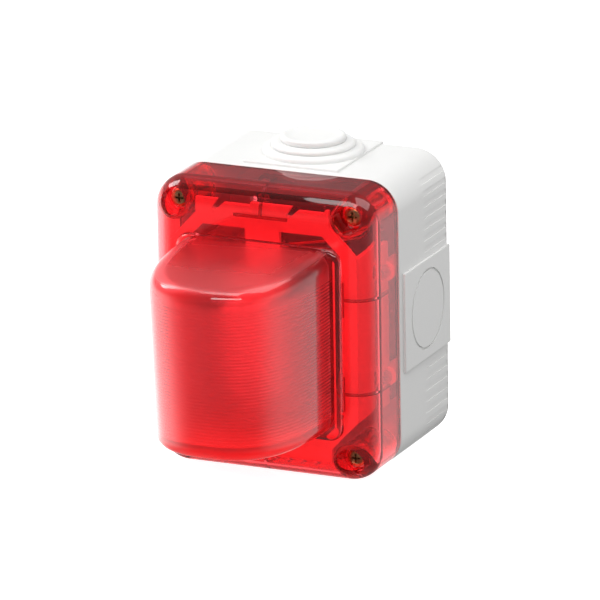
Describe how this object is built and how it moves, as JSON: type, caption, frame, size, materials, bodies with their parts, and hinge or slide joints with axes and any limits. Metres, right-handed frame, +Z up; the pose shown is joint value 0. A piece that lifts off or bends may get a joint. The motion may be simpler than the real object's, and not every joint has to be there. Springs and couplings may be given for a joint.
{
  "type": "wall horn strobe",
  "caption": "Weatherproof wall box with a horn and a xenon flash tube behind a clear red cover whose deep D-shaped lens stands out in front.",
  "frame": {"origin": "centre of the flat back face that lies on the wall", "axes": "+Z up, -Y out of the wall towards the lens, +X to the right of a person who faces the lens"},
  "size_m": [0.099, 0.1405, 0.1292],
  "materials": {
    "grey_housing": "light grey ABS, fine satin moulding grain",
    "gasket_rubber": "black foam rubber, matt",
    "gland_rubber": "light grey soft rubber, satin",
    "brass": "turned, bright",
    "screw_brass": "plated, slightly dulled",
    "steel": "zinc plated",
    "nylon": "natural nylon",
    "board_green": "green solder mask",
    "terminal_green": "green moulding",
    "switch_red": "red moulding",
    "trimmer_blue": "blue moulding",
    "white_plastic": "white ABS, satin",
    "capacitor_sleeve": "shrunk sleeve, glossy",
    "coil_yellow": "taped winding",
    "copper_winding": "enamelled copper",
    "black_plastic": "black ABS, satin",
    "mirror_finish": "metallised",
    "tube_glass": "clear quartz",
    "lead_red": "insulated wire",
    "lead_black": "insulated wire",
    "cover_red": "transparent red polycarbonate, polished"
  },
  "bodies": {
    "housing": {"back_box": "grey_housing", "rim_gasket": "gasket_rubber", "top_gland": "gland_rubber", "threaded_inserts": "brass", "main_board": "board_green", "board_screws": "steel", "terminal_block": "terminal_green", "dip_switch": "switch_red", "trimmer_case": "trimmer_blue", "capacitor": "capacitor_sleeve", "trigger_coil": "coil_yellow", "choke": "copper_winding", "control_chip": "black_plastic", "carrier_hood": "white_plastic", "hood_screws": "steel", "sounder_case": "black_plastic", "sounder_disc": "brass", "sounder_ring": "black_plastic", "sounder_screws": "steel", "lamp_base": "white_plastic", "lamp_reflector": "mirror_finish", "flash_tube": "tube_glass", "tube_caps": "steel", "tube_leads": "lead_red", "sounder_leads": "lead_black"},
    "cover": {"front_cover": "cover_red"},
    "trimmer": {"trimmer_rotor": "white_plastic"},
    "washer_1": {"screw_washer_1": "nylon"},
    "screw_1": {"cover_screw_1": "screw_brass"},
    "washer_2": {"screw_washer_2": "nylon"},
    "screw_2": {"cover_screw_2": "screw_brass"},
    "washer_3": {"screw_washer_3": "nylon"},
    "screw_3": {"cover_screw_3": "screw_brass"},
    "washer_4": {"screw_washer_4": "nylon"},
    "screw_4": {"cover_screw_4": "screw_brass"},
    "clamp_screw_1": {"terminal_screw_1": "steel"},
    "clamp_cage_1": {"terminal_cage_1": "brass"},
    "clamp_screw_2": {"terminal_screw_2": "steel"},
    "clamp_cage_2": {"terminal_cage_2": "brass"},
    "clamp_screw_3": {"terminal_screw_3": "steel"},
    "clamp_cage_3": {"terminal_cage_3": "brass"},
    "clamp_screw_4": {"terminal_screw_4": "steel"},
    "clamp_cage_4": {"terminal_cage_4": "brass"},
    "tone_slider_1": {"dip_slider_1": "white_plastic"},
    "tone_slider_2": {"dip_slider_2": "white_plastic"},
    "tone_slider_3": {"dip_slider_3": "white_plastic"},
    "tone_slider_4": {"dip_slider_4": "white_plastic"}
  },
  "joints": [
    {"name": "cover_lift_off", "type": "slide", "parent": "housing", "child": "cover", "axis": [0, -1, 0], "range_m": [0, 0.1]},
    {"name": "washer_1_lift", "type": "slide", "parent": "cover", "child": "washer_1", "axis": [0, -1, 0], "range_m": [0, 0.007]},
    {"name": "screw_1_turn", "type": "hinge", "parent": "washer_1", "child": "screw_1", "pos_m": [-0.0378, -0.0674, 0.0503], "axis": [0, -1, 0], "range_deg": [0, 3600]},
    {"name": "washer_2_lift", "type": "slide", "parent": "cover", "child": "washer_2", "axis": [0, -1, 0], "range_m": [0, 0.007]},
    {"name": "screw_2_turn", "type": "hinge", "parent": "washer_2", "child": "screw_2", "pos_m": [0.0378, -0.0674, 0.0503], "axis": [0, -1, 0], "range_deg": [0, 3600]},
    {"name": "washer_3_lift", "type": "slide", "parent": "cover", "child": "washer_3", "axis": [0, -1, 0], "range_m": [0, 0.007]},
    {"name": "screw_3_turn", "type": "hinge", "parent": "washer_3", "child": "screw_3", "pos_m": [-0.0378, -0.0674, -0.0503], "axis": [0, -1, 0], "range_deg": [0, 3600]},
    {"name": "washer_4_lift", "type": "slide", "parent": "cover", "child": "washer_4", "axis": [0, -1, 0], "range_m": [0, 0.007]},
    {"name": "screw_4_turn", "type": "hinge", "parent": "washer_4", "child": "screw_4", "pos_m": [0.0378, -0.0674, -0.0503], "axis": [0, -1, 0], "range_deg": [0, 3600]},
    {"name": "clamp_screw_1_turn", "type": "hinge", "parent": "housing", "child": "clamp_screw_1", "pos_m": [-0.00762, -0.022, 0.0295], "axis": [0, 1, 0], "range_deg": [0, 1080]},
    {"name": "clamp_cage_1_rise", "type": "slide", "parent": "housing", "child": "clamp_cage_1", "axis": [0, -1, 0], "range_m": [0, 0.0015]},
    {"name": "clamp_screw_2_turn", "type": "hinge", "parent": "housing", "child": "clamp_screw_2", "pos_m": [-0.00254, -0.022, 0.0295], "axis": [0, 1, 0], "range_deg": [0, 1080]},
    {"name": "clamp_cage_2_rise", "type": "slide", "parent": "housing", "child": "clamp_cage_2", "axis": [0, -1, 0], "range_m": [0, 0.0015]},
    {"name": "clamp_screw_3_turn", "type": "hinge", "parent": "housing", "child": "clamp_screw_3", "pos_m": [0.00254, -0.022, 0.0295], "axis": [0, 1, 0], "range_deg": [0, 1080]},
    {"name": "clamp_cage_3_rise", "type": "slide", "parent": "housing", "child": "clamp_cage_3", "axis": [0, -1, 0], "range_m": [0, 0.0015]},
    {"name": "clamp_screw_4_turn", "type": "hinge", "parent": "housing", "child": "clamp_screw_4", "pos_m": [0.00762, -0.022, 0.0295], "axis": [0, 1, 0], "range_deg": [0, 1080]},
    {"name": "clamp_cage_4_rise", "type": "slide", "parent": "housing", "child": "clamp_cage_4", "axis": [0, -1, 0], "range_m": [0, 0.0015]},
    {"name": "tone_slider_1_move", "type": "slide", "parent": "housing", "child": "tone_slider_1", "axis": [0, 0, 1], "range_m": [0, 0.0016]},
    {"name": "tone_slider_2_move", "type": "slide", "parent": "housing", "child": "tone_slider_2", "axis": [0, 0, 1], "range_m": [0, 0.0016]},
    {"name": "tone_slider_3_move", "type": "slide", "parent": "housing", "child": "tone_slider_3", "axis": [0, 0, 1], "range_m": [0, 0.0016]},
    {"name": "tone_slider_4_move", "type": "slide", "parent": "housing", "child": "tone_slider_4", "axis": [0, 0, 1], "range_m": [0, 0.0016]},
    {"name": "volume_turn", "type": "hinge", "parent": "housing", "child": "trimmer", "pos_m": [0.017, -0.016, 0.008], "axis": [0, -1, 0], "range_deg": [-135, 135]}
  ],
  "couplings": [
    {"joint": "screw_1_turn", "follows": "washer_1_lift", "rad_per_m": 8976},
    {"joint": "screw_2_turn", "follows": "washer_2_lift", "rad_per_m": 8976},
    {"joint": "screw_3_turn", "follows": "washer_3_lift", "rad_per_m": 8976},
    {"joint": "screw_4_turn", "follows": "washer_4_lift", "rad_per_m": 8976},
    {"joint": "clamp_screw_1_turn", "follows": "clamp_cage_1_rise", "rad_per_m": 12566},
    {"joint": "clamp_screw_2_turn", "follows": "clamp_cage_2_rise", "rad_per_m": 12566},
    {"joint": "clamp_screw_3_turn", "follows": "clamp_cage_3_rise", "rad_per_m": 12566},
    {"joint": "clamp_screw_4_turn", "follows": "clamp_cage_4_rise", "rad_per_m": 12566}
  ]
}
